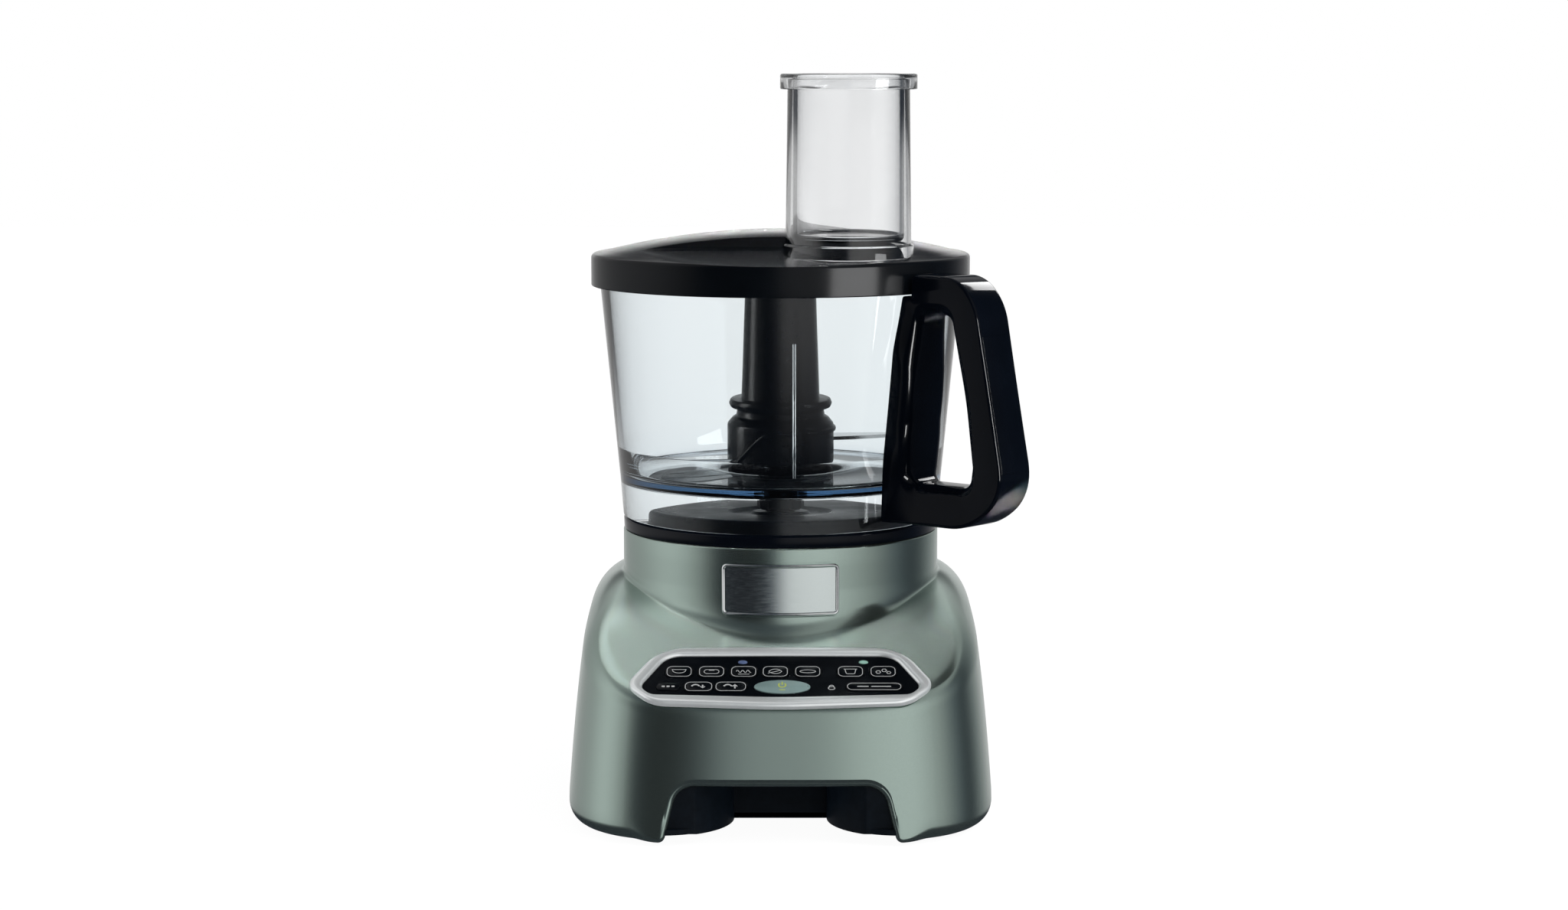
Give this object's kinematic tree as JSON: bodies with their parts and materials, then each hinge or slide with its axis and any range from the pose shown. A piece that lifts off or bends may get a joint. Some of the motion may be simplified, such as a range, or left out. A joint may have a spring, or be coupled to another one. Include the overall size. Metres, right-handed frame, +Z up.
{
  "type": "food processor",
  "caption": "Counter-top food processor with a sloped key panel, a clear handled bowl with a chopping blade, and a domed lid with a feed tube and pusher.",
  "frame": {"origin": "centre of the whole object's footprint box, on the surface that the feet stand on", "axes": "+Z up along the drive axis, -Y towards the user and the key panel, +X to the user's right, the handle's side"},
  "size_m": [0.2528, 0.2704, 0.4066],
  "materials": {
    "pewter_paint": "satin metallic paint on a moulded casing",
    "black_matte": "fine matt moulding",
    "black_gloss": "high gloss",
    "silver_key": "satin metallic",
    "clear_plastic": "clear, polished",
    "chrome": "satin chrome",
    "brushed_plate": "brushed",
    "steel": "ground and polished",
    "frame_alloy": "die cast",
    "copper_winding": "enamelled windings on a laminated core",
    "bronze": "sintered",
    "rubber": "matt",
    "board": "solder mask",
    "lens_blue": "clear tinted",
    "lens_green": "clear tinted"
  },
  "bodies": {
    "base": {"base_shell": "pewter_paint", "under_tray": "black_matte", "foot_front_left": "rubber", "foot_front_right": "rubber", "foot_rear_left": "rubber", "foot_rear_right": "rubber", "tray_screw_1": "steel", "tray_screw_2": "steel", "tray_screw_3": "steel", "tray_screw_4": "steel", "cord_gland": "rubber", "badge_frame": "chrome", "badge_plate": "brushed_plate", "panel_bezel": "chrome", "panel_plate": "black_gloss", "blue_lens": "lens_blue", "green_lens": "lens_green", "control_board": "board", "seat_ring": "black_gloss", "turret": "black_matte", "upper_bearing": "bronze", "lower_bearing": "bronze", "bearing_bridge": "steel", "stator": "steel", "lower_frame": "frame_alloy", "upper_frame": "frame_alloy", "drive_belt": "rubber"},
    "rotor": {"armature": "copper_winding", "motor_fan": "black_matte", "motor_pulley": "steel"},
    "spindle": {"spindle": "steel", "driven_pulley": "black_matte", "drive_dog": "black_matte"},
    "bowl_hub": {"bowl_bush": "bronze"},
    "bowl": {"bowl": "clear_plastic", "handle_body": "black_gloss", "handle_cover": "black_gloss"},
    "blade": {"drive_shaft": "black_matte", "blade_hub": "black_matte", "upper_blade": "steel", "lower_blade": "steel"},
    "interlock": {"interlock_rod": "steel"},
    "lid_hub": {"lid_bush": "bronze"},
    "lid": {"lid": "black_gloss", "feed_tube": "clear_plastic"},
    "pusher": {"pusher": "clear_plastic"},
    "program_key_1": {"program_key_1": "black_gloss"},
    "program_key_2": {"program_key_2": "black_gloss"},
    "program_key_3": {"program_key_3": "black_gloss"},
    "program_key_4": {"program_key_4": "black_gloss"},
    "program_key_5": {"program_key_5": "black_gloss"},
    "blend_key_1": {"blend_key_1": "black_gloss"},
    "blend_key_2": {"blend_key_2": "black_gloss"},
    "pulse_key": {"pulse_key": "black_gloss"},
    "speed_down_key": {"speed_down_key": "black_gloss"},
    "speed_up_key": {"speed_up_key": "black_gloss"},
    "start_key": {"start_key": "silver_key"},
    "lock_key": {"lock_key": "black_gloss"}
  },
  "joints": [
    {"name": "rotor_spin", "type": "hinge", "parent": "base", "child": "rotor", "pos_m": [-0.0088, -0.04506, 0.05], "axis": [0, 0, 1], "continuous": true},
    {"name": "spindle_spin", "type": "hinge", "parent": "base", "child": "spindle", "pos_m": [-0.0088, 0.02494, 0.1], "axis": [0, 0, 1], "continuous": true},
    {"name": "bowl_lift", "type": "slide", "parent": "base", "child": "bowl_hub", "axis": [0, 0, 1], "range_m": [0, 0.12]},
    {"name": "bowl_twist", "type": "hinge", "parent": "bowl_hub", "child": "bowl", "pos_m": [-0.0088, 0.02494, 0.1563], "axis": [0, 0, 1], "range_deg": [-30, 0]},
    {"name": "blade_spin", "type": "hinge", "parent": "bowl_hub", "child": "blade", "pos_m": [-0.0088, 0.02494, 0.2], "axis": [0, 0, 1], "continuous": true},
    {"name": "lid_lift", "type": "slide", "parent": "bowl", "child": "lid_hub", "axis": [0, 0, 1], "range_m": [0, 0.1]},
    {"name": "lid_twist", "type": "hinge", "parent": "lid_hub", "child": "lid", "pos_m": [-0.0088, 0.02494, 0.295], "axis": [0, 0, 1], "range_deg": [0, 30]},
    {"name": "interlock_slide", "type": "slide", "parent": "bowl", "child": "interlock", "axis": [0.0709, -0.0661, 0.9953], "range_m": [0, 0.004]},
    {"name": "pusher_slide", "type": "slide", "parent": "lid", "child": "pusher", "axis": [0, 0, 1], "range_m": [0, 0.085]},
    {"name": "program_key_1_press", "type": "slide", "parent": "base", "child": "program_key_1", "axis": [0, 0.4384, -0.8988], "range_m": [0, 0.0008], "stiffness_N_per_m": 150, "springref_m": -0.001},
    {"name": "program_key_2_press", "type": "slide", "parent": "base", "child": "program_key_2", "axis": [0, 0.4384, -0.8988], "range_m": [0, 0.0008], "stiffness_N_per_m": 150, "springref_m": -0.001},
    {"name": "program_key_3_press", "type": "slide", "parent": "base", "child": "program_key_3", "axis": [0, 0.4384, -0.8988], "range_m": [0, 0.0008], "stiffness_N_per_m": 150, "springref_m": -0.001},
    {"name": "program_key_4_press", "type": "slide", "parent": "base", "child": "program_key_4", "axis": [0, 0.4384, -0.8988], "range_m": [0, 0.0008], "stiffness_N_per_m": 150, "springref_m": -0.001},
    {"name": "program_key_5_press", "type": "slide", "parent": "base", "child": "program_key_5", "axis": [0, 0.4384, -0.8988], "range_m": [0, 0.0008], "stiffness_N_per_m": 150, "springref_m": -0.001},
    {"name": "blend_key_1_press", "type": "slide", "parent": "base", "child": "blend_key_1", "axis": [0, 0.4384, -0.8988], "range_m": [0, 0.0008], "stiffness_N_per_m": 150, "springref_m": -0.001},
    {"name": "blend_key_2_press", "type": "slide", "parent": "base", "child": "blend_key_2", "axis": [0, 0.4384, -0.8988], "range_m": [0, 0.0008], "stiffness_N_per_m": 150, "springref_m": -0.001},
    {"name": "pulse_key_press", "type": "slide", "parent": "base", "child": "pulse_key", "axis": [0, 0.4384, -0.8988], "range_m": [0, 0.0008], "stiffness_N_per_m": 150, "springref_m": -0.001},
    {"name": "speed_down_key_press", "type": "slide", "parent": "base", "child": "speed_down_key", "axis": [0, 0.4384, -0.8988], "range_m": [0, 0.0008], "stiffness_N_per_m": 150, "springref_m": -0.001},
    {"name": "speed_up_key_press", "type": "slide", "parent": "base", "child": "speed_up_key", "axis": [0, 0.4384, -0.8988], "range_m": [0, 0.0008], "stiffness_N_per_m": 150, "springref_m": -0.001},
    {"name": "start_key_press", "type": "slide", "parent": "base", "child": "start_key", "axis": [0, 0.4384, -0.8988], "range_m": [0, 0.0008], "stiffness_N_per_m": 150, "springref_m": -0.001},
    {"name": "lock_key_press", "type": "slide", "parent": "base", "child": "lock_key", "axis": [0, 0.4384, -0.8988], "range_m": [0, 0.0008], "stiffness_N_per_m": 150, "springref_m": -0.001}
  ],
  "couplings": [
    {"joint": "spindle_spin", "follows": "rotor_spin", "ratio": 0.24},
    {"joint": "blade_spin", "follows": "rotor_spin", "ratio": 0.24},
    {"joint": "interlock_slide", "follows": "lid_twist", "m_per_rad": 0.007257}
  ]
}
